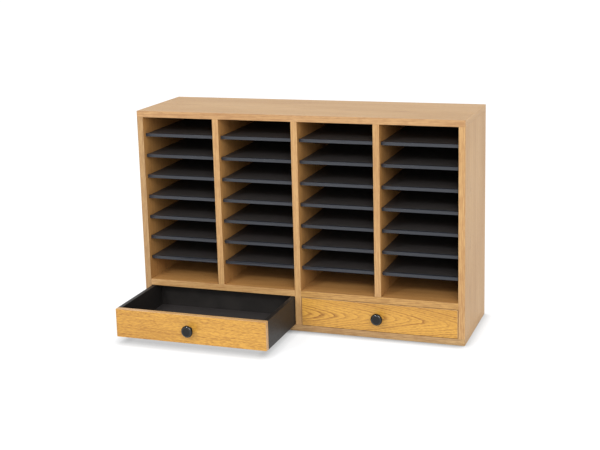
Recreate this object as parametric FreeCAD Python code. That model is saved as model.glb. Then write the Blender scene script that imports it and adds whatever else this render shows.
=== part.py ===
"""Desktop literature sorter: a laminated-board cabinet with four columns of thin adjustable shelves
above two side-by-side drawers.

The frame: +X to the right, +Y to the back, +Z up, millimetres.  The origin is the centre of the
cabinet's underside.  The left drawer is modelled pulled out and the right drawer closed.
"""
import FreeCAD
import Part
import math
import os

Vec = FreeCAD.Vector
X, Y, Z = Vec(1, 0, 0), Vec(0, 1, 0), Vec(0, 0, 1)

# ---- cabinet -----------------------------------------------------------------------------------
cabinet_width = 997.0
cabinet_depth = 298.5
cabinet_height = 648.0
panel_thickness = 19.0          # sides, top, bottom, dividers and decks
board_edge_radius = 0.7         # eased edges of the laminated boards
drawer_bay_height = 87.0        # clear height between the bottom panel and the decks
columns_per_bay = 2             # letter columns above each drawer
bays = ("left", "right")
snug_clearance = 0.05           # radial, round a pin, dowel or nail that is pushed into its hole
overcut = 1.0                   # how far a cutting shape runs past the face it opens

# ---- back panel, nailed into a rabbet ----------------------------------------------------------
back_thickness = 3.2
back_recess = 1.0               # back panel sits this far inside the rear edges
back_side_clearance = 0.3
nail_shank_radius = 0.8
nail_head_radius = 2.4
nail_head_height = 0.8
nail_length = 16.0
nail_spacing = 105.0            # largest distance between two nails
nail_end_margin = 30.0

# ---- shelves, their pins and their label-holder edge mouldings ---------------------------------
shelves_per_column = 7
shelf_thickness = 3.2
shelf_side_gap = 1.5
shelf_rear_gap = 3.0
shelf_front_setback = 12.0      # cabinet's front plane to the moulding's face
bottom_compartment_extra = 7.0  # the lowest compartment is this much taller
pin_hole_pitch = 12.7
pin_radius = 2.45
pin_reach = 8.0                 # how far a pin stands out under the shelf
pin_collar_radius = 3.7
pin_collar_thickness = 1.2
pin_row_inset = 37.0            # pin rows to the cabinet's front and to the back panel

moulding_height = 9.0
moulding_wall = 1.2
moulding_face_thickness = 2.6
moulding_lip_depth = 9.0
moulding_fit = 0.05             # clearance between the moulding and the shelf it grips
label_slot_depth = 1.3
label_slot_margin = 1.1         # plastic above and below the label slot
label_slot_hook = 0.5           # how far each hook covers the slot's mouth
label_slot_hook_thickness = 0.5
moulding_nose_radius = 0.7

# ---- knock-down fittings and dowels ------------------------------------------------------------
bore_web = 2.0                  # board left between two bores that meet from opposite faces
bore_end_gap = 0.3
bolt_thread_radius = 3.0
bolt_shank_radius = 2.5
bolt_head_radius = 3.4
bolt_head_thickness = 3.0
bolt_clearance = 0.1
cam_radius = 7.4
cam_clearance = 0.1
cam_distance = 24.0             # board end to the cam's centre
cam_recess = 0.2
cam_overhang = 4.0              # cam's depth past the board's middle
cam_slot_length = 8.0
cam_slot_width = 1.5
cam_slot_depth = 2.0
cam_cover_radius = 8.8          # stick-on cap over each cam
cam_cover_thickness = 0.4
fitting_inset = 75.0            # fittings to the cabinet's front and rear
dowel_radius = 4.0
dowel_in_end = 20.0             # dowel's depth in the end of a board

# ---- drawers -----------------------------------------------------------------------------------
left_drawer_from_stops = 9.5    # left to travel, as the left drawer stands open
drawer_side_gap = 1.5
drawer_top_gap = 1.5
drawer_front_bottom_gap = 1.0
drawer_running_gap = 0.3        # under the sides, which slide on the bottom panel
drawer_rear_gap = 0.5           # the back panel stops the closing drawer
drawer_front_thickness = 16.0
drawer_board_thickness = 12.0
drawer_board_edge_radius = 0.6
drawer_back_drop = 2.0          # back's top edge below the sides' top edges
drawer_bottom_thickness = 3.2
drawer_bottom_height = 8.0      # underside of the bottom above the sides' lower edges
groove_depth = 6.0
groove_fit = 0.1
tongue_thickness = 5.0          # tongue on each side's front end, glued in the front's groove
back_dado_depth = 3.0           # the back's ends stand in dadoes in the sides

screw_shank_radius = 1.75
screw_head_radius = 3.6
screw_head_height = 2.4
screw_length = 32.0
screw_clearance = 0.1
screw_end_inset = 20.0          # screws to the top and bottom edges of the drawer's back
screw_cross_length = 3.6        # cross recess in the screws' heads
screw_cross_width = 0.8
screw_cross_depth = 1.4

knob_radius = 17.5
knob_base_radius = 9.0
knob_base_thickness = 1.5
knob_neck_radius = 6.5
knob_projection = 24.0
knob_rim_radius = 4.0           # rounding of the head's outer edge
knob_dish_radius = 12.5
knob_dish_depth = 1.6
knob_screw_radius = 2.0
knob_screw_clearance = 0.15
knob_screw_bite = 12.0          # screw's length in the knob
knob_screw_head_radius = 4.2
knob_screw_head_height = 2.6

# ---- stop pegs under the decks, which catch the drawers' backs ---------------------------------
stop_radius = 6.0
stop_drop = 8.0
stop_stem_radius = 3.9
stop_edge_round = 1.0
stop_behind_front = 6.0         # closed drawer front to the peg
stop_inset_from_bay_side = 85.0

# ---- places worked out from the sizes above ----------------------------------------------------
front_y = -cabinet_depth / 2
rear_y = cabinet_depth / 2
left_x = -cabinet_width / 2
right_x = cabinet_width / 2
top_z = cabinet_height
column_count = columns_per_bay * len(bays)
column_width = (cabinet_width - (column_count + 1) * panel_thickness) / column_count
bay_width = columns_per_bay * column_width + (columns_per_bay - 1) * panel_thickness
bay_floor_z = panel_thickness
bay_ceiling_z = bay_floor_z + drawer_bay_height
deck_top_z = bay_ceiling_z + panel_thickness
ceiling_z = top_z - panel_thickness
inside_rear_y = rear_y - back_recess - back_thickness
rabbet_width = panel_thickness / 2
face_bore_depth = (panel_thickness - bore_web) / 2

column_zone = ceiling_z - deck_top_z
shelf_pitch = pin_hole_pitch * round(column_zone / (shelves_per_column + 1) / pin_hole_pitch)
shelf_front_y = front_y + shelf_front_setback + moulding_face_thickness
shelf_rear_y = inside_rear_y - shelf_rear_gap
pin_rows_y = (front_y + pin_row_inset, inside_rear_y - pin_row_inset)
fittings_y = (front_y + fitting_inset, rear_y - fitting_inset)

drawer_front_rear_y = front_y + drawer_front_thickness
drawer_rear_y = inside_rear_y - drawer_rear_gap
drawer_top_z = bay_ceiling_z - drawer_top_gap
drawer_side_bottom_z = bay_floor_z + drawer_running_gap
drawer_back_front_y = drawer_rear_y - drawer_board_thickness
knob_z = (bay_floor_z + drawer_front_bottom_gap + drawer_top_z) / 2
stop_y = drawer_front_rear_y + stop_behind_front + stop_radius
drawer_travel = drawer_back_front_y - (stop_y + stop_radius) - drawer_running_gap
left_drawer_open = drawer_travel - left_drawer_from_stops


def column_left(column):
    """Left wall of a column, counted from 0."""
    return left_x + panel_thickness + column * (column_width + panel_thickness)


def bay_left(bay):
    return column_left(bay * columns_per_bay)


def shelf_top_z(row):
    """Upper face of a shelf board, counted from 1 at the bottom."""
    return deck_top_z + bottom_compartment_extra + row * shelf_pitch


def pin_z(row):
    return shelf_top_z(row) - shelf_thickness - pin_radius - snug_clearance


# ---- shape helpers -----------------------------------------------------------------------------
def box(x0, x1, y0, y1, z0, z1):
    return Part.makeBox(x1 - x0, y1 - y0, z1 - z0, Vec(x0, y0, z0))


def board(x0, x1, y0, y1, z0, z1, radius=board_edge_radius):
    """A board with all its edges eased."""
    plain = box(x0, x1, y0, y1, z0, z1)
    return plain.makeFillet(radius, plain.Edges)


def rod(radius, start, end):
    """A cylinder from one point to another."""
    along = end - start
    return Part.makeCylinder(radius, along.Length, start, along)


def placed(shape, origin, x_axis, z_axis):
    """A shape made at the origin, moved so that its X and Z run along the given axes."""
    moved = shape.copy()
    y_axis = z_axis.cross(x_axis)
    moved.Placement = FreeCAD.Placement(origin, FreeCAD.Rotation(x_axis, y_axis, z_axis, "XYZ"))
    return moved


def spread(start, end, spacing):
    """Evenly spaced places from start to end, no further apart than spacing."""
    steps = max(1, math.ceil((end - start) / spacing))
    return [start + (end - start) * i / steps for i in range(steps + 1)]


# Boards are kept with the bores and grooves that are cut into them once every joint is known.
solids = {}
cuts = {}
groups = {}


def add_board(name, shape):
    solids[name] = shape
    cuts[name] = []


# ---- cabinet boards ----------------------------------------------------------------------------
def make_cabinet_boards():
    add_board("bottom_panel", board(left_x, right_x, front_y, rear_y, 0, panel_thickness))
    add_board("top_panel", board(left_x, right_x, front_y, rear_y, ceiling_z, top_z))
    side_x = {"left_side_panel": left_x, "right_side_panel": right_x - panel_thickness}
    for name, x in side_x.items():
        add_board(name, board(x, x + panel_thickness, front_y, rear_y, bay_floor_z, ceiling_z))
    center_x = column_left(columns_per_bay) - panel_thickness
    add_board("center_divider", board(center_x, center_x + panel_thickness, front_y, inside_rear_y,
                                      bay_floor_z, ceiling_z))
    for bay, side in enumerate(bays):
        x = bay_left(bay)
        add_board(f"{side}_deck",
                  board(x, x + bay_width, front_y, inside_rear_y, bay_ceiling_z, deck_top_z))
        for n in range(1, columns_per_bay):
            x = column_left(bay * columns_per_bay + n) - panel_thickness
            add_board(divider_name(bay, n), board(x, x + panel_thickness, front_y, inside_rear_y,
                                                  deck_top_z, ceiling_z))


def divider_name(bay, n):
    """Name of the n-th divider above a drawer bay."""
    return f"{bays[bay]}_divider" if n == 1 else f"{bays[bay]}_divider_{n}"


def make_back_panel():
    """The back panel, the rabbet it sits in, and its nails."""
    rim = panel_thickness - rabbet_width
    rabbet = box(left_x + rim, right_x - rim, inside_rear_y, rear_y + overcut, rim, top_z - rim)
    for name in ("top_panel", "bottom_panel", "left_side_panel", "right_side_panel"):
        cuts[name].append(rabbet)
    c = back_side_clearance
    add_board("back_panel", box(left_x + rim + c, right_x - rim - c, inside_rear_y,
                                inside_rear_y + back_thickness, rim + c, top_z - rim - c))

    ledge = rabbet_width / 2
    edge_x = (left_x + panel_thickness - ledge, right_x - panel_thickness + ledge)
    edge_z = (bay_floor_z - ledge, ceiling_z + ledge)
    across = spread(edge_x[0] + nail_end_margin, edge_x[1] - nail_end_margin, nail_spacing)
    up = spread(edge_z[0] + nail_end_margin, edge_z[1] - nail_end_margin, nail_spacing)
    nails = [(x, edge_z[0], "bottom_panel") for x in across]
    nails += [(x, edge_z[1], "top_panel") for x in across]
    nails += [(edge_x[0], z, "left_side_panel") for z in up]
    nails += [(edge_x[1], z, "right_side_panel") for z in up]
    for bay, side in enumerate(bays):
        deck_z = bay_ceiling_z + panel_thickness / 2
        x = bay_left(bay)
        inner = spread(x + nail_end_margin, x + bay_width - nail_end_margin, nail_spacing)
        nails += [(nail_x, deck_z, f"{side}_deck") for nail_x in inner]
        above = spread(deck_top_z + nail_end_margin, ceiling_z - nail_end_margin, nail_spacing)
        for n in range(1, columns_per_bay):
            x = column_left(bay * columns_per_bay + n) - panel_thickness / 2
            nails += [(x, z, divider_name(bay, n)) for z in above]
    center_x = column_left(columns_per_bay) - panel_thickness / 2
    nails += [(center_x, z, "center_divider") for z in up]

    head_y = inside_rear_y + back_thickness
    made = []
    for x, z, into in nails:
        tip = Vec(x, head_y - nail_length, z)
        under_head = Vec(x, head_y, z)
        shank = rod(nail_shank_radius, tip, under_head)
        head = rod(nail_head_radius, under_head, under_head + Y * nail_head_height)
        made.append(shank.fuse(head).removeSplitter())
        hole = rod(nail_shank_radius + snug_clearance, tip - Y * bore_end_gap, under_head)
        cuts["back_panel"].append(hole)
        cuts[into].append(hole)
    groups["back_nails"] = made


# ---- knock-down joints -------------------------------------------------------------------------
def cam_fitting(board_thickness):
    """A bolt, its cam, the cam's cover and their bores, with X running into the bored board's end.

    Z points out of the face that the cam is set in, and the origin is where the boards meet."""
    half_head = bolt_head_thickness / 2
    thread_end = face_bore_depth - bore_end_gap
    bolt = rod(bolt_thread_radius, X * -thread_end, Vec(0, 0, 0))
    bolt = bolt.fuse(rod(bolt_shank_radius, Vec(0, 0, 0), X * cam_distance))
    bolt = bolt.fuse(rod(bolt_head_radius, X * (cam_distance - half_head),
                         X * (cam_distance + half_head))).removeSplitter()

    face = board_thickness / 2
    center = X * cam_distance
    bolt_bore = bolt_head_radius + bolt_clearance
    cam = rod(cam_radius, center - Z * cam_overhang, center + Z * (face - cam_recess))
    cam = cam.cut(rod(bolt_bore, center - X * (cam_radius + overcut),
                      center + X * (half_head + bolt_clearance)))
    slot_floor = face - cam_recess - cam_slot_depth
    for length, width in ((cam_slot_length, cam_slot_width), (cam_slot_width, cam_slot_length)):
        cam = cam.cut(box(cam_distance - length / 2, cam_distance + length / 2,
                          -width / 2, width / 2, slot_floor, face))
    cover = rod(cam_cover_radius, center + Z * face, center + Z * (face + cam_cover_thickness))
    face_bore = rod(bolt_thread_radius + bolt_clearance, X * -face_bore_depth, Vec(0, 0, 0))
    end_bore = rod(bolt_bore, Vec(0, 0, 0), center)
    cam_bore = rod(cam_radius + cam_clearance, center - Z * (cam_overhang + bore_end_gap),
                   center + Z * (face + overcut))
    return bolt, cam, cover, face_bore, end_bore.fuse(cam_bore)


def dowel_set():
    """A dowel and its two bores, placed as a cam fitting is."""
    dowel = rod(dowel_radius, X * -(face_bore_depth - bore_end_gap), X * (dowel_in_end - bore_end_gap))
    bore = dowel_radius + snug_clearance
    return dowel, rod(bore, X * -face_bore_depth, Vec(0, 0, 0)), rod(bore, Vec(0, 0, 0), X * dowel_in_end)


def make_joints():
    """Two cam fittings and one dowel at each end-to-face joint of the cabinet."""
    bolt, cam, cover, face_bore, cam_bores = cam_fitting(panel_thickness)
    dowel, dowel_face_bore, dowel_end_bore = dowel_set()
    half = panel_thickness / 2
    left_panel_x = left_x + half
    right_panel_x = right_x - half
    center_x = column_left(columns_per_bay) - half
    # each joint: faced board, bored board, x and z where they meet, way into the bored board, cam's side
    joints = [
        ("top_panel", "left_side_panel", left_panel_x, ceiling_z, -Z, X),
        ("top_panel", "right_side_panel", right_panel_x, ceiling_z, -Z, -X),
        ("bottom_panel", "left_side_panel", left_panel_x, bay_floor_z, Z, X),
        ("bottom_panel", "right_side_panel", right_panel_x, bay_floor_z, Z, -X),
        ("top_panel", "center_divider", center_x, ceiling_z, -Z, -X),
        ("bottom_panel", "center_divider", center_x, bay_floor_z, Z, -X),
    ]
    for bay, side in enumerate(bays):
        deck = f"{side}_deck"
        deck_z = bay_ceiling_z + half
        walls = ("left_side_panel", "center_divider", "right_side_panel")
        joints.append((walls[bay], deck, bay_left(bay), deck_z, X, -Z))
        joints.append((walls[bay + 1], deck, bay_left(bay) + bay_width, deck_z, -X, -Z))
        for n in range(1, columns_per_bay):
            x = column_left(bay * columns_per_bay + n) - half
            joints.append(("top_panel", divider_name(bay, n), x, ceiling_z, -Z, -X))
            joints.append((deck, divider_name(bay, n), x, deck_top_z, Z, -X))

    made = {"cam_bolts": [], "cam_locks": [], "cam_covers": [], "dowels": []}
    for faced, bored, x, z, inward, cam_side in joints:
        for y in fittings_y:
            at = Vec(x, y, z)
            made["cam_bolts"].append(placed(bolt, at, inward, cam_side))
            made["cam_locks"].append(placed(cam, at, inward, cam_side))
            made["cam_covers"].append(placed(cover, at, inward, cam_side))
            cuts[faced].append(placed(face_bore, at, inward, cam_side))
            cuts[bored].append(placed(cam_bores, at, inward, cam_side))
        at = Vec(x, 0, z)
        made["dowels"].append(placed(dowel, at, inward, cam_side))
        cuts[faced].append(placed(dowel_face_bore, at, inward, cam_side))
        cuts[bored].append(placed(dowel_end_bore, at, inward, cam_side))
    groups.update(made)


# ---- shelves -----------------------------------------------------------------------------------
def column_walls(column):
    """Names of the boards on the left and the right of a column."""
    def wall(n):
        if n == 0:
            return "left_side_panel"
        if n == column_count:
            return "right_side_panel"
        bay, within = divmod(n, columns_per_bay)
        return divider_name(bay, within) if within else "center_divider"
    return wall(column), wall(column + 1)


def shelf_pin():
    """A pin with X running out of the wall and the origin on the wall's face."""
    stem = rod(pin_radius, X * -(face_bore_depth - bore_end_gap), X * pin_reach)
    collar = rod(pin_collar_radius, Vec(0, 0, 0), X * pin_collar_thickness)
    return stem.fuse(collar).removeSplitter()


def label_holder(length):
    """Edge moulding along X: a channel that grips the shelf, with a slotted face that hangs below it.

    The origin is the middle of the shelf's front edge, at its left end."""
    grip = shelf_thickness / 2 + moulding_fit
    top = grip + moulding_wall
    foot = top - moulding_height
    face = -moulding_face_thickness
    slot = face + label_slot_depth
    hook = face + label_slot_hook_thickness
    slot_top, slot_foot = top - label_slot_margin, foot + label_slot_margin
    outline = [
        (moulding_lip_depth, top), (face, top),
        (face, slot_top - label_slot_hook), (hook, slot_top - label_slot_hook), (hook, slot_top),
        (slot, slot_top), (slot, slot_foot), (hook, slot_foot),
        (hook, slot_foot + label_slot_hook), (face, slot_foot + label_slot_hook),
        (face, foot), (-moulding_fit, foot), (-moulding_fit, -grip - moulding_wall),
        (moulding_lip_depth, -grip - moulding_wall), (moulding_lip_depth, -grip),
        (-moulding_fit, -grip), (-moulding_fit, grip), (moulding_lip_depth, grip),
    ]
    points = [Vec(0, y, z) for y, z in outline]
    profile = Part.Face(Part.makePolygon(points + points[:1]))
    bar = profile.extrude(X * length)
    nose = [e for e in bar.Edges
            if abs(e.Vertexes[0].Z - e.Vertexes[-1].Z) < 1e-6
            and all(abs(v.Y - face) < 1e-6 for v in e.Vertexes)
            and any(abs(e.Vertexes[0].Z - z) < 1e-6 for z in (top, foot))]
    return bar.makeFillet(moulding_nose_radius, nose)


def make_shelves():
    pin = shelf_pin()
    width = column_width - 2 * shelf_side_gap
    holder = label_holder(width)
    hole = rod(pin_radius + snug_clearance, X * -face_bore_depth, Vec(0, 0, 0))
    pins, holders = [], []
    for column in range(column_count):
        left = column_left(column)
        walls = zip(column_walls(column), (left, left + column_width), (X, -X))
        walls = list(walls)
        for row in range(1, shelves_per_column + 1):
            top = shelf_top_z(row)
            x0 = left + shelf_side_gap
            solids[f"shelf_column_{column + 1}_row_{row}"] = box(
                x0, x0 + width, shelf_front_y, shelf_rear_y, top - shelf_thickness, top)
            middle = Vec(x0, shelf_front_y, top - shelf_thickness / 2)
            holders.append(placed(holder, middle, X, Z))
            for wall, x, outward in walls:
                for y in pin_rows_y:
                    at = Vec(x, y, pin_z(row))
                    pins.append(placed(pin, at, outward, Z))
                    cuts[wall].append(placed(hole, at, outward, Z))
    groups["shelf_pins"] = pins
    groups["label_holders"] = holders


# ---- drawers -----------------------------------------------------------------------------------
def knob():
    """A turned knob with Z pointing away from the drawer front, and its blind screw hole."""
    def at(radius, z):
        return Vec(radius, 0, z)

    def quarter(center, radius, way, turn):
        """A quarter circle's start, middle and end, from way to turn, both unit vectors."""
        diagonal = (way + turn) * math.sqrt(0.5)
        return Part.Arc(center + way * radius, center + diagonal * radius, center + turn * radius)

    head_z = knob_projection - knob_rim_radius
    under_radius = knob_radius - knob_base_radius
    under_z = head_z - under_radius
    neck_z = (knob_base_thickness + under_z) / 2
    dish_z = knob_projection - knob_dish_depth
    dish_sphere = (knob_dish_radius ** 2 + knob_dish_depth ** 2) / (2 * knob_dish_depth)
    dish_half = dish_sphere - math.sqrt(dish_sphere ** 2 - knob_dish_radius ** 2 / 4)
    edges = [
        Part.LineSegment(at(0, 0), at(knob_base_radius, 0)),
        Part.LineSegment(at(knob_base_radius, 0), at(knob_base_radius, knob_base_thickness)),
        Part.Arc(at(knob_base_radius, knob_base_thickness), at(knob_neck_radius, neck_z),
                 at(knob_base_radius, under_z)),
        quarter(at(knob_base_radius, head_z), under_radius, -Z, X),
        quarter(at(knob_radius - knob_rim_radius, head_z), knob_rim_radius, X, Z),
        Part.LineSegment(at(knob_radius - knob_rim_radius, knob_projection),
                         at(knob_dish_radius, knob_projection)),
        Part.Arc(at(knob_dish_radius, knob_projection), at(knob_dish_radius / 2, dish_z + dish_half),
                 at(0, dish_z)),
        Part.LineSegment(at(0, dish_z), at(0, 0)),
    ]
    wire = Part.Wire([e.toShape() for e in edges])
    turned = Part.Face(wire).revolve(Vec(0, 0, 0), Z, 360)
    hole = rod(knob_screw_radius + snug_clearance, Z * -overcut, Z * (knob_screw_bite + bore_end_gap))
    return turned.cut(hole)


def cross_recess():
    """The cross cut into a screw's head, with Z pointing out of the head's face at the origin."""
    long, narrow = screw_cross_length / 2, screw_cross_width / 2
    one = box(-long, long, -narrow, narrow, -screw_cross_depth, overcut)
    return one.fuse(box(-narrow, narrow, -long, long, -screw_cross_depth, overcut))


def wood_screw():
    """A countersunk screw with Z pointing out of its head, flush at the origin."""
    head = Part.makeCone(screw_shank_radius, screw_head_radius, screw_head_height,
                         Z * -screw_head_height, Z)
    shank = rod(screw_shank_radius, Z * -screw_length, Z * -screw_head_height)
    return head.fuse(shank).removeSplitter().cut(cross_recess())


def wood_screw_hole():
    grow = screw_clearance
    head = Part.makeCone(screw_shank_radius + grow, screw_head_radius + grow, screw_head_height + grow,
                         Z * -screw_head_height, Z)
    shank = rod(screw_shank_radius + grow, Z * -(screw_length + bore_end_gap), Z * -screw_head_height)
    return head.fuse(shank)


def make_drawer(bay, side):
    """One drawer, closed: a laminated front, a grooved box, its bottom, its knob and its screws."""
    name = f"{side}_drawer"
    x0 = bay_left(bay) + drawer_side_gap
    x1 = bay_left(bay) + bay_width - drawer_side_gap
    thick, fit = drawer_board_thickness, groove_fit
    radius = drawer_board_edge_radius
    front_bottom_z = bay_floor_z + drawer_front_bottom_gap
    parts = {
        "front": board(x0, x1, front_y, drawer_front_rear_y, front_bottom_z, drawer_top_z),
        "left_side": board(x0, x0 + thick, drawer_front_rear_y, drawer_rear_y,
                           drawer_side_bottom_z, drawer_top_z, radius),
        "right_side": board(x1 - thick, x1, drawer_front_rear_y, drawer_rear_y,
                            drawer_side_bottom_z, drawer_top_z, radius),
    }

    # tongues on the sides, glued into grooves in the front
    tongue_y = drawer_front_rear_y - groove_depth
    tongues = {"left_side": x0 + thick - tongue_thickness, "right_side": x1 - thick}
    for which, x in tongues.items():
        tongue = box(x, x + tongue_thickness, tongue_y + fit, drawer_front_rear_y + radius,
                     front_bottom_z, drawer_top_z - radius)
        root = box(x, x + tongue_thickness, drawer_front_rear_y, drawer_front_rear_y + 2 * radius,
                   front_bottom_z + radius, drawer_top_z - radius)
        parts[which] = parts[which].fuse(tongue).fuse(root).removeSplitter()
        parts["front"] = parts["front"].cut(
            box(x - fit, x + tongue_thickness + fit, tongue_y, drawer_front_rear_y + overcut,
                front_bottom_z - overcut, drawer_top_z - radius + fit))

    # the back stands in dadoes in the sides
    dado_x0, dado_x1 = x0 + thick - back_dado_depth, x1 - thick + back_dado_depth
    back_top_z = drawer_top_z - drawer_back_drop
    dado = box(dado_x0 - fit, dado_x1 + fit, drawer_back_front_y - fit, drawer_rear_y + overcut,
               drawer_side_bottom_z - overcut, drawer_top_z + overcut)
    parts["back"] = box(dado_x0, dado_x1, drawer_back_front_y, drawer_rear_y,
                        drawer_side_bottom_z, back_top_z)
    for which in tongues:
        parts[which] = parts[which].cut(dado)

    # the bottom slides in a groove all round
    bottom_z = drawer_side_bottom_z + drawer_bottom_height
    reach = groove_depth - fit
    parts["bottom"] = box(x0 + thick - reach, x1 - thick + reach, tongue_y + fit,
                          drawer_back_front_y + reach, bottom_z, bottom_z + drawer_bottom_thickness)
    groove = box(x0 + thick - groove_depth, x1 - thick + groove_depth, tongue_y,
                 drawer_back_front_y + groove_depth, bottom_z - fit,
                 bottom_z + drawer_bottom_thickness + fit)
    for which in ("front", "left_side", "right_side", "back"):
        parts[which] = parts[which].cut(groove)

    # screws through the sides into the back
    screws = []
    screw_y = (drawer_back_front_y + drawer_rear_y) / 2
    screw = wood_screw()
    screw_hole = wood_screw_hole()
    for z in (drawer_side_bottom_z + screw_end_inset, back_top_z - screw_end_inset):
        for x, outward, which in ((x0, -X, "left_side"), (x1, X, "right_side")):
            at = Vec(x, screw_y, z)
            screws.append(placed(screw, at, Y, outward))
            hole = placed(screw_hole, at, Y, outward)
            parts[which] = parts[which].cut(hole)
            parts["back"] = parts["back"].cut(hole)

    # knob and its machine screw
    knob_x = (x0 + x1) / 2
    at = Vec(knob_x, front_y, knob_z)
    parts["knob"] = placed(knob(), at, X, -Y)
    behind = Vec(knob_x, drawer_front_rear_y, knob_z)
    machine_screw = rod(knob_screw_radius, at - Y * knob_screw_bite, behind)
    machine_screw = machine_screw.fuse(rod(knob_screw_head_radius, behind,
                                           behind + Y * knob_screw_head_height)).removeSplitter()
    recess = placed(cross_recess(), behind + Y * knob_screw_head_height, X, Y)
    screws.append(machine_screw.cut(recess))
    parts["front"] = parts["front"].cut(
        rod(knob_screw_radius + knob_screw_clearance, at - Y * overcut, behind + Y * overcut))
    parts["screws"] = Part.makeCompound(screws)

    opened = -Y * (left_drawer_open if side == "left" else 0)
    for which, shape in parts.items():
        moved = shape.copy()
        moved.translate(opened)
        solids[f"{name}_{which}"] = moved


def make_drawer_stops():
    """Two pegs under each deck, which the drawer's back meets at full travel."""
    pegs = []
    for bay, side in enumerate(bays):
        for x in (bay_left(bay) + stop_inset_from_bay_side,
                  bay_left(bay) + bay_width - stop_inset_from_bay_side):
            at = Vec(x, stop_y, bay_ceiling_z)
            head = rod(stop_radius, at - Z * stop_drop, at)
            lower = [e for e in head.Edges if abs(e.BoundBox.ZMax - (at.z - stop_drop)) < 1e-6]
            head = head.makeFillet(stop_edge_round, lower)
            stem = rod(stop_stem_radius, at, at + Z * (face_bore_depth - bore_end_gap))
            pegs.append(head.fuse(stem).removeSplitter())
            cuts[f"{side}_deck"].append(rod(stop_stem_radius + snug_clearance, at - Z * overcut,
                                            at + Z * face_bore_depth))
    groups["drawer_stops"] = pegs


# ---- build and write ---------------------------------------------------------------------------
def main():
    make_cabinet_boards()
    make_back_panel()
    make_joints()
    make_shelves()
    make_drawer_stops()
    for name, tools in cuts.items():
        if tools:
            solids[name] = solids[name].cut(tools)
    for bay, side in enumerate(bays):
        make_drawer(bay, side)
    for name, members in groups.items():
        solids[name] = Part.makeCompound(members)

    os.makedirs("parts", exist_ok=True)
    for name, shape in solids.items():
        shape.exportStep(f"parts/{name}.step")
    print(len(solids), "nodes; drawer travel", round(drawer_travel, 2), "mm; shelf pitch", shelf_pitch)


main()
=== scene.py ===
import bpy
import math
from mathutils import Matrix, Vector


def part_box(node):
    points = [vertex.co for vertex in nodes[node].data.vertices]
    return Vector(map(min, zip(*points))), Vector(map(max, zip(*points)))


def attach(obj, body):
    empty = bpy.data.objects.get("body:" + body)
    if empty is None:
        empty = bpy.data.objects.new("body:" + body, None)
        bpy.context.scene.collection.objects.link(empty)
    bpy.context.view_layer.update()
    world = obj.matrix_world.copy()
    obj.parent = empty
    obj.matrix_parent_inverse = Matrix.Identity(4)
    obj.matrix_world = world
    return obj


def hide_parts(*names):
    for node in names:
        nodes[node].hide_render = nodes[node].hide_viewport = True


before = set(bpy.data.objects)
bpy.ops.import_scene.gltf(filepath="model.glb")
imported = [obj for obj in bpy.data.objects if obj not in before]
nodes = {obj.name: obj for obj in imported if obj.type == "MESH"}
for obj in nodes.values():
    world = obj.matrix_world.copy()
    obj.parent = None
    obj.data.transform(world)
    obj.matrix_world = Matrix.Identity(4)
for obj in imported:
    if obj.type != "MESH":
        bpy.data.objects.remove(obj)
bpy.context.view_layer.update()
shelfNames = [name for name in nodes if name.startswith("shelf_column")]
firstShelf = "shelf_column_1_row_1"
smoothAngle = math.radians(35)
print("frame loaded with", len(nodes), "nodes")


# shader maths: sockets that add, multiply and compare like numbers

class Wire:
    def __init__(self, tree, socket=None):
        self.tree = tree
        self.socket = socket

    def add(self, kind, settings=None, inputs=None, output=0):  # any node: settings first, then sockets
        node = self.tree.nodes.new("ShaderNode" + kind)
        for name, value in (settings or {}).items():
            setattr(node, name, value)
        for name, value in (inputs or {}).items():
            if isinstance(value, Wire):
                self.tree.links.new(value.socket, node.inputs[name])
            else:
                node.inputs[name].default_value = value
        return Wire(self.tree, node.outputs[output])

    def calc(self, operation, first, second=0.0):
        return self.add("Math", {"operation": operation}, {0: first, 1: second})

    def __add__(self, other):
        return self.calc("ADD", self, other)

    def __sub__(self, other):
        return self.calc("SUBTRACT", self, other)

    def __mul__(self, other):
        return self.calc("MULTIPLY", self, other)

    def __truediv__(self, other):
        return self.calc("DIVIDE", self, other)

    def __pow__(self, other):
        return self.calc("POWER", self, other)

    def __gt__(self, other):
        return self.calc("GREATER_THAN", self, other)

    def __lt__(self, other):
        return self.calc("LESS_THAN", self, other)

    def __rsub__(self, other):
        return self.calc("SUBTRACT", other, self)

    __radd__ = __add__
    __rmul__ = __mul__

    def root(self):
        return self.calc("SQRT", self)

    def fraction(self):
        return self.calc("FRACT", self)

    def floor(self):
        return self.calc("FLOOR", self)

    def clamp(self):
        return self.add("Clamp", None, {"Value": self})

    def smaller(self, other):
        return self.calc("MINIMUM", self, other)

    def ramp(self, low, high):  # 0 below low, 1 above high, smooth between
        return self.add("MapRange", {"interpolation_type": "SMOOTHSTEP"},
                        {"Value": self, "From Min": low, "From Max": high})


def separate(vector):
    return [vector.add("SeparateXYZ", None, {"Vector": vector}, axis) for axis in range(3)]


def combine(x, y, z):
    wire = next(part for part in (x, y, z) if isinstance(part, Wire))
    return wire.add("CombineXYZ", None, {"X": x, "Y": y, "Z": z})


def noise(vector, scale, detail=2.0, roughness=0.5):
    return vector.add("TexNoise", None, {"Vector": vector, "Scale": scale, "Detail": detail,
                                         "Roughness": roughness})


def blendColor(share, first, second):  # first where share is 0, second where it is 1
    return share.add("Mix", {"data_type": "RGBA"}, {0: share, 6: first, 7: second}, 2)


def blendValue(share, first, second):
    return share * (second - first) + first


def startMaterial(name):
    material = bpy.data.materials.new(name)
    material.use_nodes = True
    tree = material.node_tree
    shader = tree.nodes["Principled BSDF"]
    place = Wire(tree).add("TexCoord", None, None, "Object")
    return material, shader, place


def feed(shader, wires):
    for name, wire in wires.items():
        wire.tree.links.new(wire.socket, shader.inputs[name])


def finishMaterial(shader, color, roughness, height, look):
    strength, depth = look["bump"], look["depth"]
    normal = height.add("Bump", None, {"Height": height, "Strength": strength, "Distance": depth})
    feed(shader, {"Base Color": color, "Roughness": roughness, "Normal": normal})


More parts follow.
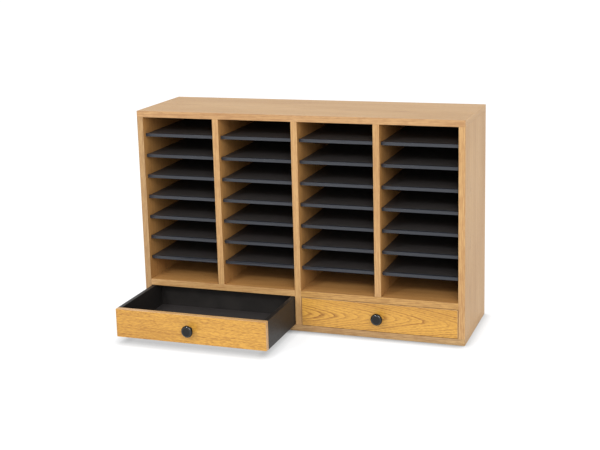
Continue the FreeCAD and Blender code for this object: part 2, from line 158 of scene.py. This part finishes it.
def rgb(red, green, blue):  # a colour as seen on screen, made linear for the shader
    def linear(value):
        value /= 255
        return value / 12.92 if value <= 0.04045 else ((value + 0.055) / 1.055) ** 2.4
    return (linear(red), linear(green), linear(blue), 1.0)


# oak laminate: grain drawn as growth rings cut by a flat face, with dashes of pores

oakTones = {
    "face": rgb(184, 143, 83),
    "faceLine": rgb(140, 94, 42),
    # inside tones: the face laminate made darker and more orange for the faces inside the compartments,
    # painted shade and bounce light
    "inside": rgb(188, 139, 82),
    "paintedShadeInsideLine": rgb(142, 93, 44),
    "front": rgb(195, 145, 59),
    "frontLine": rgb(122, 73, 18),
    "band": rgb(187, 149, 97),
    "bandLine": rgb(147, 103, 59),
    # the bottom panel's band, made darker near the floor: painted shade
    "paintedShadeLowBand": rgb(177, 143, 96),
    "paintedShadeLowBandLine": rgb(120, 86, 50),
    "topBand": rgb(182, 143, 96),
    "topBandLine": rgb(134, 92, 54),
    # the left side panel's band, made darker on the side away from the light: painted shade
    "paintedShadeLeftBand": rgb(167, 134, 90),
    "paintedShadeLeftBandLine": rgb(127, 92, 54),
    # the right deck's band, tinted more orange than the left deck's for the different light on it: painted
    # light
    "paintedLightDeckBand": rgb(183, 141, 78),
    "paintedLightDeckBandLine": rgb(122, 80, 34),
    "frontBand": rgb(206, 166, 112),
    "frontBandLine": rgb(170, 125, 76),
    "pore": rgb(104, 66, 30),
    "core": rgb(184, 150, 110),
    "coreChip": rgb(138, 104, 70),
}

commonGrain = {"steep": 30.0, "spacing": 0.150, "wander": 0.012, "blunt": 0.006, "streak": 0.9,
               "fleck": 0.0, "band": "band"}

oakBoards = {  # what differs; heart: the flames' centre line across the grain; steep: how pointed they are
    "top_panel": {"grain": "X", "heart": 0.62, "seed": 3.1, "band": "topBand"},
    "bottom_panel": {"grain": "X", "heart": 0.30, "seed": 7.7, "band": "paintedShadeLowBand"},
    "left_side_panel": {"grain": "Z", "heart": -0.52, "seed": 1.3, "band": "paintedShadeLeftBand"},
    "right_side_panel": {"grain": "Z", "heart": 0.42, "seed": 5.2},
    "center_divider": {"grain": "Z", "heart": 0.02, "seed": 2.4},
    "left_divider": {"grain": "Z", "heart": -0.16, "seed": 9.6},
    "right_divider": {"grain": "Z", "heart": 0.20, "seed": 4.8},
    "left_deck": {"grain": "X", "heart": 0.05, "seed": 6.5},
    "right_deck": {"grain": "X", "heart": 0.12, "seed": 8.9, "band": "paintedLightDeckBand"},
    "left_drawer_front": {"grain": "X", "heart": -0.55, "seed": 0.7, "steep": 34.0, "spacing": 0.130,
                          "wander": 0.006, "band": "frontBand", "streak": 0.85, "fleck": 1.8},
    "right_drawer_front": {"grain": "X", "heart": -0.092, "seed": 3.9, "steep": 6.5, "spacing": 0.038,
                           "wander": 0.050, "blunt": 0.013, "band": "frontBand", "streak": 0.7,
                           "fleck": 1.5},
    "cam_covers": {"grain": "Z", "heart": 0.30, "seed": 2.0},
}

grainNoises = {  # scale along and across the grain, seed step, detail and roughness
    "wander": (2.6, 3.0, 0.0, 1.0, 0.5),
    "ripple": (9.0, 34.0, 5.0, 2.0, 0.5),
    "jag": (26.0, 110.0, 7.0, 2.0, 0.6),
    "streaks": (14.0, 260.0, 0.0, 4.0, 0.65),
    "pores": (95.0, 1500.0, 9.0, 1.0, 0.5),
    "flecks": (88.0, 420.0, 3.0, 2.0, 0.5),
    "cloud": (3.0, 14.0, 2.0, 2.0, 0.5),
    "bandFlecks": (32.0, 150.0, 4.0, 3.0, 0.6),
}

ringLook = {  # pairs are the low and high ends of a ramp
    "ripple": 0.5, "jag": 0.45,
    "fade": 1.7, "edge": (0.0, 0.10),
    "hash": (7.31, 0.5), "weight": (0.32, 0.66), "faint": 0.4,
    "pores": (0.56, 0.70), "rarePores": 0.25,
}

oakEdge = {"band": 0.0009, "glue": 0.0003, "glueTone": rgb(92, 60, 30), "rear": 0.0004, "skin": 0.0095}

oakFinish = {
    "bandFlecks": (0.42, 0.64), "fleckShare": 0.4, "glueShare": 0.6,
    "cloud": (0.35, 0.75), "cloudShare": 0.25,
    "frontPores": 0.7, "facePores": 0.5,
    "rough": 0.36, "poreRough": 0.2, "cloudRough": 0.1,
    "ringHeight": 0.2, "bump": 0.12, "depth": 0.0004,
    "flake": (520.0, 3.0, 0.7), "flakeEdge": (0.4, 0.6), "rearRough": 0.85,
}


def grainNoise(along, across, board, kind):
    alongScale, acrossScale, step, detail, roughness = grainNoises[kind]
    spot = combine(along * alongScale, across * acrossScale, board["seed"] + step)
    return noise(spot, 1.0, detail, roughness)


def growthRings(along, across, board):  # how dark the late wood is, and where the pores lie
    look = ringLook
    wander = grainNoise(along, across, board, "wander") - 0.5
    ripple = grainNoise(along, across, board, "ripple") - 0.5
    jag = grainNoise(along, across, board, "jag") - 0.5
    offset = across - board["heart"] + wander * board["wander"]
    crest = (offset * offset + board["blunt"] ** 2).root()
    shift = (ripple * look["ripple"] + jag * look["jag"]) * board["spacing"]
    rings = (along + crest * board["steep"] + shift) / board["spacing"]
    share = rings.fraction()
    late = (1.0 - share) ** look["fade"] * share.ramp(*look["edge"])
    ringStep, ringDepth = look["hash"]  # each ring gets a darkness of its own
    weight = noise(combine(rings.floor() * ringStep, board["seed"], ringDepth), 1.0, 0.0)
    weight = weight.ramp(*look["weight"])
    pores = grainNoise(along, across, board, "pores").ramp(*look["pores"])
    dashes = pores * blendValue(late, look["rarePores"], 1.0)
    streaks = grainNoise(along, across, board, "streaks") - 0.5
    line = late * blendValue(weight, look["faint"], 1.0) + streaks * board["streak"]
    if board["fleck"]:  # short dashes between the rings
        line = line + (grainNoise(along, across, board, "flecks") - 0.5) * board["fleck"]
    return line.clamp(), dashes


def insideCabinet(x, z):  # 1 on the faces that look into the compartments, which get the painted shade tone
    skin = oakEdge["skin"]
    low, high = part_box("left_side_panel")[0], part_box("right_side_panel")[1]
    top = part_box("top_panel")[1].z
    return (x > low.x + skin) * (x < high.x - skin) * (z > skin) * (z < top - skin)


def oakMaterial(name, board):
    look = oakFinish
    material, shader, place = startMaterial(name + "_oak")
    x, y, z = separate(place)
    low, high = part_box(name)
    isDrawer = "drawer" in name
    along, across = (x, y + z) if board["grain"] == "X" else (z, x + y)
    ends = (x > high.x - oakEdge["band"]) + (x < low.x + oakEdge["band"])
    if board["grain"] == "X":  # the grain of the end bands runs up and down, or front to back
        along = blendValue(ends, along, z if isDrawer else y)
        across = blendValue(ends, across, y if isDrawer else z)
    line, dashes = growthRings(along, across, board)
    cloud = grainNoise(along, across, board, "cloud")

    main = "front" if isDrawer else "face"
    color = blendColor(line, oakTones[main], oakTones[main + "Line"])
    if isDrawer:  # depth: how far in from the banded edges
        depth = (x - low.x).smaller(high.x - x).smaller(high.z - z)
    else:
        depth = y - low.y
        # painted shade: faces inside the compartments get the darker, more orange copy of the laminate
        inside = blendColor(line, oakTones["inside"], oakTones["paintedShadeInsideLine"])
        color = blendColor(insideCabinet(x, z), color, inside)
    isBand = depth < oakEdge["band"]
    isGlue = (depth > oakEdge["band"]) * (depth < oakEdge["band"] + oakEdge["glue"])
    bandLine = oakTones[board["band"] + "Line"]
    bandTone = blendColor(line, oakTones[board["band"]], bandLine)
    flecks = grainNoise(along, across, board, "bandFlecks").ramp(*look["bandFlecks"])
    color = blendColor(isBand, color, blendColor(flecks * look["fleckShare"], bandTone, bandLine))
    color = blendColor(isGlue * look["glueShare"], color, oakEdge["glueTone"])
    color = blendColor(cloud.ramp(*look["cloud"]) * look["cloudShare"], color, oakTones[main + "Line"])
    color = blendColor(dashes * look[main + "Pores"], color, oakTones["pore"])
    roughness = dashes * look["poreRough"] + cloud * look["cloudRough"] + look["rough"]
    height = 1.0 - dashes - line * look["ringHeight"]
    if not isDrawer and name != "cam_covers":  # bare particle board shows at the rear edge
        flakes = noise(place, *look["flake"]).ramp(*look["flakeEdge"])
        isRear = y > high.y - oakEdge["rear"]
        color = blendColor(isRear, color, blendColor(flakes, oakTones["coreChip"], oakTones["core"]))
        roughness = blendValue(isRear, roughness, look["rearRough"])
    finishMaterial(shader, color, roughness, height, look)
    return material


# black hardboard, black board, plastics, steel and beech

plainFinishes = {  # stretch: scale of the pattern along each axis; rough: of the dark and the light spots
    "hardboard": {"dark": rgb(46, 43, 42), "light": rgb(59, 55, 54), "scale": 38.0, "fine": 900.0,
                  "stretch": (1.0, 1.0, 1.0), "cloud": 0.25, "rough": (0.46, 0.58), "bump": 0.12},
    "drawerBoard": {"dark": rgb(25, 23, 22), "light": rgb(37, 34, 32), "scale": 24.0, "fine": 700.0,
                    "stretch": (1.0, 0.12, 1.0), "cloud": 0.45, "rough": (0.42, 0.55), "bump": 0.12,
                    "sheen": 0.3},
    "holderPlastic": {"dark": rgb(34, 37, 43), "light": rgb(45, 48, 55), "scale": 30.0, "fine": 1400.0,
                      "stretch": (0.02, 1.0, 1.0), "cloud": 0.35, "rough": (0.28, 0.38), "bump": 0.04},
    "smallPlastic": {"dark": rgb(34, 33, 34), "light": rgb(48, 46, 47), "scale": 60.0, "fine": 2000.0,
                     "stretch": (1.0, 1.0, 1.0), "cloud": 0.4, "rough": (0.34, 0.46), "bump": 0.04},
    "beech": {"dark": rgb(178, 132, 88), "light": rgb(212, 172, 126), "scale": 90.0, "fine": 1800.0,
              "stretch": (0.2, 1.0, 0.2), "cloud": 0.6, "rough": (0.55, 0.70), "bump": 0.10},
}

plainCommon = {"sheen": 0.5, "cloudNoise": (3.0, 0.55), "gritNoise": (2.0, 0.6), "mottle": (0.32, 0.68),
               "cloudHeight": 0.3, "depth": 0.0003}


def plainMaterial(name):
    look = {**plainCommon, **plainFinishes[name]}
    material, shader, place = startMaterial(name)
    stretched = combine(*[axis * scale for axis, scale in zip(separate(place), look["stretch"])])
    cloud = noise(stretched, look["scale"], *look["cloudNoise"])
    grit = noise(stretched, look["fine"], *look["gritNoise"])
    mottle = blendValue(look["cloud"], grit, cloud).ramp(*look["mottle"])
    color = blendColor(mottle, look["dark"], look["light"])
    shader.inputs["Specular IOR Level"].default_value = look["sheen"]
    roughness = blendValue(mottle, *look["rough"])
    finishMaterial(shader, color, roughness, grit + cloud * look["cloudHeight"], look)
    return material


knobLook = {
    # rim and dish colours: the dish painted lighter than the rim, a painted reflection; dishFaint and a
    # noise vary how much
    "rim": rgb(10, 9, 7),
    "dish": rgb(17, 16, 16),
    "dishEdge": (0.0110, 0.0122),
    "dishFaint": 0.6,
    "gloss": (0.0148, 0.0166),
    "dullShare": 0.85,
    "dishShare": 0.45,
    "coatRough": 0.05,
    "sheen": 0.06,
    "grit": (2600.0, 2.0, 0.6),
    "wearAndSheen": (240.0, 3.0, 0.6),
    "rough": 0.12,
    "dishRough": 0.10,
    "wearRough": 0.10,
    "bump": 0.03,
    "depth": 0.0002,
}


def knobMaterial(side):  # glossy dish and crest; the dish's colour is painted lighter than the darker outer rim, a painted reflection
    look = knobLook
    material, shader, place = startMaterial(side + "_knobPlastic")
    x, z = separate(place)[::2]
    low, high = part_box(side + "_drawer_knob")
    outward, upward = x - (low.x + high.x) / 2, z - (low.z + high.z) / 2
    radius = (outward * outward + upward * upward).root()
    grit, wearAndSheen = noise(place, *look["grit"]), noise(place, *look["wearAndSheen"])
    isDish = 1.0 - radius.ramp(*look["dishEdge"])
    # painted reflection: the dish is painted lighter than the rim, mottled by noise
    color = blendColor(isDish * blendValue(wearAndSheen, look["dishFaint"], 1.0), look["rim"], look["dish"])
    roughness = isDish * look["dishRough"] + wearAndSheen * look["wearRough"] + look["rough"]
    coat = 1.0 - radius.ramp(*look["gloss"]) * look["dullShare"] - isDish * look["dishShare"]
    feed(shader, {"Coat Weight": coat})
    shader.inputs["Coat Roughness"].default_value = look["coatRough"]
    shader.inputs["Specular IOR Level"].default_value = look["sheen"]
    finishMaterial(shader, color, roughness, grit, look)
    return material


steelLook = {"base": rgb(176, 176, 172), "tarnish": rgb(132, 130, 122), "rough": (0.26, 0.46),
             "cloud": (130.0, 3.0, 0.6), "tarnishEdge": (0.4, 0.7), "scratches": (2400.0, 1.0),
             "bump": 0.05, "depth": 0.0002}


def steelMaterial():
    look = steelLook
    material, shader, place = startMaterial("zincSteel")
    cloud, scratches = noise(place, *look["cloud"]), noise(place, *look["scratches"])
    color = blendColor(cloud.ramp(*look["tarnishEdge"]), look["base"], look["tarnish"])
    shader.inputs["Metallic"].default_value = 1.0
    finishMaterial(shader, color, blendValue(cloud, *look["rough"]), scratches, look)
    return material


def dress(names, material):
    for name in names:
        mesh = nodes[name].data
        mesh.materials.clear()
        mesh.materials.append(material)


def dressNodes():
    for name, board in oakBoards.items():
        dress([name], oakMaterial(name, {**commonGrain, **board}))
    bottoms = ["left_drawer_bottom", "right_drawer_bottom"]
    dress(shelfNames + bottoms + ["back_panel"], plainMaterial("hardboard"))
    walls = [name for name in nodes if "drawer" in name and name.endswith(("_side", "_back"))]
    dress(walls, plainMaterial("drawerBoard"))
    dress(["shelf_pins", "drawer_stops"], plainMaterial("smallPlastic"))
    dress(["dowels"], plainMaterial("beech"))
    steels = ["back_nails", "cam_bolts", "cam_locks", "left_drawer_screws", "right_drawer_screws"]
    dress(steels, steelMaterial())
    print("materials on", len(nodes), "nodes")


# modelled pieces

def startEdit(name, material):
    piece = bpy.context.object
    piece.name = name
    piece.data.name = name
    piece.data.materials.append(material)
    bpy.ops.object.mode_set(mode="EDIT")
    return piece


def finishPiece(piece, body, slotName, *replaced):
    bpy.ops.object.mode_set(mode="OBJECT")
    bpy.ops.object.transform_apply(location=True, rotation=True, scale=True)
    for modifier in list(piece.modifiers):
        bpy.ops.object.modifier_apply(modifier=modifier.name)
    bpy.ops.object.shade_smooth_by_angle(angle=smoothAngle)
    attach(piece, body)
    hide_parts(*replaced)


knobTurning = {
    "sides": 40,
    "base": 0.0090,
    "levels": 2,
    "steps": [  # rise and radius of each turned ring
        (0.0012, 0.0091), (0.0014, 0.0072), (0.0040, 0.0066), (0.0038, 0.0073), (0.0020, 0.0102),
        (0.0016, 0.0143), (0.0024, 0.0171), (0.0024, 0.01775), (0.0022, 0.0170), (0.0016, 0.0153),
        (0.0009, 0.0136), (0.0003, 0.0127), (-0.0002, 0.0121), (-0.0007, 0.0105), (-0.0005, 0.0073),
        (-0.0003, 0.0034),
    ],
}


def turnKnob(side, material):
    look = knobTurning
    low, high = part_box(side + "_drawer_knob")
    center = Vector(((low.x + high.x) / 2, high.y, (low.z + high.z) / 2))
    bpy.ops.object.select_all(action="DESELECT")
    bpy.ops.mesh.primitive_circle_add(vertices=look["sides"], radius=look["base"], fill_type="NGON",
                                      location=center, rotation=(math.pi / 2, 0, 0))
    piece = startEdit(side + "Knob", material)
    radius = look["base"]
    for rise, wide in look["steps"]:
        center.y -= rise
        bpy.ops.mesh.extrude_region_move(TRANSFORM_OT_translate={"value": (0, -rise, 0)})
        share = wide / radius
        bpy.ops.transform.resize(value=(share, share, share), center_override=center)
        radius = wide
    bpy.ops.mesh.select_all(action="SELECT")
    bpy.ops.mesh.normals_make_consistent(inside=False)
    smooth = piece.modifiers.new("smooth", "SUBSURF")
    smooth.levels = smooth.render_levels = look["levels"]
    finishPiece(piece, side + "_drawer", "knob_plastic", side + "_drawer_knob")


holderProfile = {  # steps round the moulding's section, front to back and up, from the top of the lip
    "lip": 0.0090,
    "rise": 0.00285,
    "steps": [
        (-0.0116, 0.0), (0.0, -0.0016), (0.0005, 0.0), (0.0, 0.0005), (0.0008, 0.0),
        (0.0, -0.0068), (-0.0008, 0.0), (0.0, 0.0005), (-0.0005, 0.0), (0.0, -0.0016),
        (0.00255, 0.0), (0.0, 0.0033), (0.00905, 0.0), (0.0, 0.0012), (-0.00905, 0.0),
        (0.0, 0.0033), (0.00905, 0.0),
    ],
    "soften": 0.00022,
    "segments": 2,
}


def drawHolder(material):  # one moulding, on the first shelf's front edge
    look = holderProfile
    low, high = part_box(firstShelf)
    start = Vector((low.x, low.y + look["lip"], (low.z + high.z) / 2 + look["rise"]))
    bpy.ops.object.select_all(action="DESELECT")
    bpy.ops.mesh.primitive_plane_add(size=0.001, location=start)
    piece = startEdit("labelHolder", material)
    bpy.ops.mesh.merge(type="CENTER")
    for step in look["steps"]:
        bpy.ops.mesh.extrude_region_move(TRANSFORM_OT_translate={"value": (0, step[0], step[1])})
    bpy.ops.mesh.select_all(action="SELECT")
    bpy.ops.mesh.edge_face_add()
    bpy.ops.mesh.extrude_region_move(TRANSFORM_OT_translate={"value": (high.x - low.x, 0, 0)})
    bpy.ops.mesh.select_all(action="SELECT")
    bpy.ops.mesh.normals_make_consistent(inside=False)
    bpy.ops.object.mode_set(mode="OBJECT")
    soften = piece.modifiers.new("soften", "BEVEL")
    soften.width = look["soften"]
    soften.segments = look["segments"]
    soften.limit_method = "ANGLE"
    return piece


def placeHolders(material):
    first = drawHolder(material)
    bpy.ops.object.transform_apply(location=True, rotation=True, scale=True)
    bpy.ops.object.modifier_apply(modifier="soften")
    bpy.ops.object.shade_smooth_by_angle(angle=smoothAngle)
    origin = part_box(firstShelf)[0]
    for name in shelfNames:
        holder = bpy.data.objects.new(name.replace("shelf", "label_holder"), first.data.copy())
        bpy.context.scene.collection.objects.link(holder)
        holder.data.transform(Matrix.Translation(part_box(name)[0] - origin))
        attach(holder, "cabinet")
        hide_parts("label_holders")
    bpy.data.objects.remove(first)


# camera and light

cameraView = {"place": (1.1386, -3.3039, 1.1803), "azimuth": 19.587, "elevation": 12.002, "roll": -1.508,
              "focal": 1186.0, "frameWidth": 600.0, "sensor": 36.0, "shift": -0.08}


def addCamera(view):
    camera = bpy.data.objects.new("camera", bpy.data.cameras.new("camera"))
    bpy.context.scene.collection.objects.link(camera)
    azimuth, elevation, roll = [math.radians(view[name]) for name in ("azimuth", "elevation", "roll")]
    back = Vector((math.sin(azimuth) * math.cos(elevation), -math.cos(azimuth) * math.cos(elevation),
                   math.sin(elevation)))
    turn = (-back).to_track_quat("-Z", "Y").to_matrix() @ Matrix.Rotation(roll, 3, "Z")
    camera.matrix_world = Matrix.Translation(view["place"]) @ turn.to_4x4()
    camera.data.sensor_width = view["sensor"]
    camera.data.lens = view["focal"] / view["frameWidth"] * view["sensor"]
    camera.data.shift_y = view["shift"]
    bpy.context.scene.camera = camera


studio = {
    "floorSize": 40.0,
    "floorTone": (0.25, 0.255, 0.262, 1.0),
    "floorRough": 0.9,
    "floorSheen": 0.1,
    "floorGlow": 0.77,
    "glowTone": (1.0, 1.0, 1.0, 1.0),
    "shadeTone": (0.06, 0.06, 0.06, 1.0),
    "contact": 0.034,
    "contactLean": (0.12, 0.42, 0.9),
    "contactSamples": 16,
    "skyTone": (1.0, 1.0, 1.0, 1.0),
    "skyStrength": 1.0,
    "sun": {"azimuth": 26.0, "elevation": 30.0, "strength": 1.3, "spread": 40.0},
    "lamps": [  # name, place, aimed at, size, watts: small ones, for the glints on plastic
        ("leftLamp", (-1.10, -2.75, 2.00), (0.0, -0.2, 0.2), 0.40, 32.0),
        ("rightLamp", (1.37, -2.57, 1.75), (0.0, -0.2, 0.2), 0.40, 10.0),
    ],
}


def floorMaterial(look):  # pale, with painted shade: darker where something stands close, above all behind
    material, shader, place = startMaterial("pale_floor")
    lean = place.add("CombineXYZ", None, dict(zip("XYZ", look["contactLean"])))
    # painted shade: ambient occlusion darkens the floor's colour and its glow near anything on it, leaning
    # towards what stands behind
    clear = place.add("AmbientOcclusion", {"samples": look["contactSamples"]},
                      {"Distance": look["contact"], "Normal": lean}, 1)
    tone = blendColor(clear, look["shadeTone"], look["floorTone"])
    glow = blendColor(clear, look["shadeTone"], look["glowTone"])
    feed(shader, {"Base Color": tone, "Emission Color": glow})
    shader.inputs["Roughness"].default_value = look["floorRough"]
    shader.inputs["Specular IOR Level"].default_value = look["floorSheen"]
    shader.inputs["Emission Strength"].default_value = look["floorGlow"]
    return material


def addLight(name, kind, strength):
    light = bpy.data.objects.new(name, bpy.data.lights.new(name, kind))
    bpy.context.scene.collection.objects.link(light)
    light.data.energy = strength
    return light


def addStudio(look):
    bpy.ops.object.select_all(action="DESELECT")
    bpy.ops.mesh.primitive_plane_add(size=look["floorSize"], location=(0.0, 0.0, 0.0))
    floor = bpy.context.object
    floor.name = "floor"
    floor.data.materials.append(floorMaterial(look))
    world = bpy.data.worlds.new("studio")
    bpy.context.scene.world = world
    world.use_nodes = True
    background = world.node_tree.nodes["Background"]
    background.inputs["Color"].default_value = look["skyTone"]
    background.inputs["Strength"].default_value = look["skyStrength"]
    sunLook = look["sun"]
    sun = addLight("sun", "SUN", sunLook["strength"])
    sun.data.angle = math.radians(sunLook["spread"])
    sun.rotation_euler = (math.radians(90.0 - sunLook["elevation"]), 0.0, math.radians(sunLook["azimuth"]))
    for name, location, target, size, watts in look["lamps"]:
        lamp = addLight(name, "AREA", watts)
        lamp.data.size = size
        lamp.location = location
        lamp.rotation_mode = "QUATERNION"
        lamp.rotation_quaternion = (Vector(target) - Vector(location)).to_track_quat("-Z", "Y")


dressNodes()
turnKnob("left", knobMaterial("left"))
turnKnob("right", knobMaterial("right"))
placeHolders(plainMaterial("holderPlastic"))
print("pieces modelled")
addCamera(cameraView)
addStudio(studio)
bpy.context.scene.view_settings.view_transform = "Standard"
